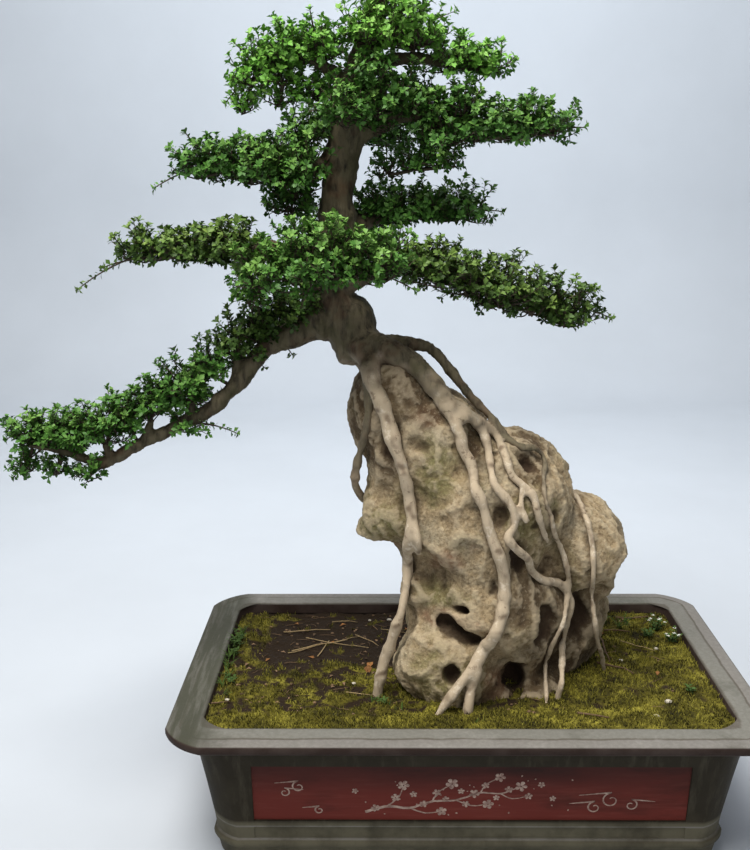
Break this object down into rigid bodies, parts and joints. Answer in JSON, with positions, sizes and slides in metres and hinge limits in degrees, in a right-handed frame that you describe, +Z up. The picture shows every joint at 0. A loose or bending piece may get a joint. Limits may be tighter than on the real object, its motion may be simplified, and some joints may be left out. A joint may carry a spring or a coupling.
{
  "type": "root over rock bonsai with pot",
  "caption": "Small leaved tree with bare roots gripping a pitted stone, planted in mossy soil in a rectangular glazed pot on corner feet.",
  "frame": {"origin": "centre of the box round the whole object, on the surface that the feet stand on", "axes": "+Z up, -Y the front that the viewer sees, +X to the right along the pot's long side"},
  "size_m": [0.7833, 0.38, 0.9051],
  "materials": {
    "glazed_stoneware": "satin",
    "screen_plastic": "matte",
    "mossy_soil": "matte",
    "limestone": "matte",
    "bark": "matte",
    "leaves": "satin"
  },
  "bodies": {
    "root": {"pot": "glazed_stoneware", "screen_left": "screen_plastic", "screen_right": "screen_plastic", "soil": "mossy_soil", "rock": "limestone", "trunk": "bark", "spray_low_left_tip": "leaves", "spray_low_left_middle": "leaves", "spray_low_left_inner": "leaves", "spray_middle_left": "leaves", "spray_upper_left": "leaves", "spray_top_left": "leaves", "spray_crown": "leaves", "spray_top_right": "leaves", "spray_right_upper": "leaves", "spray_right_middle": "leaves", "spray_right_lower": "leaves", "spray_front": "leaves", "spray_back_lower": "leaves", "spray_back_upper": "leaves"}
  },
  "joints": []
}
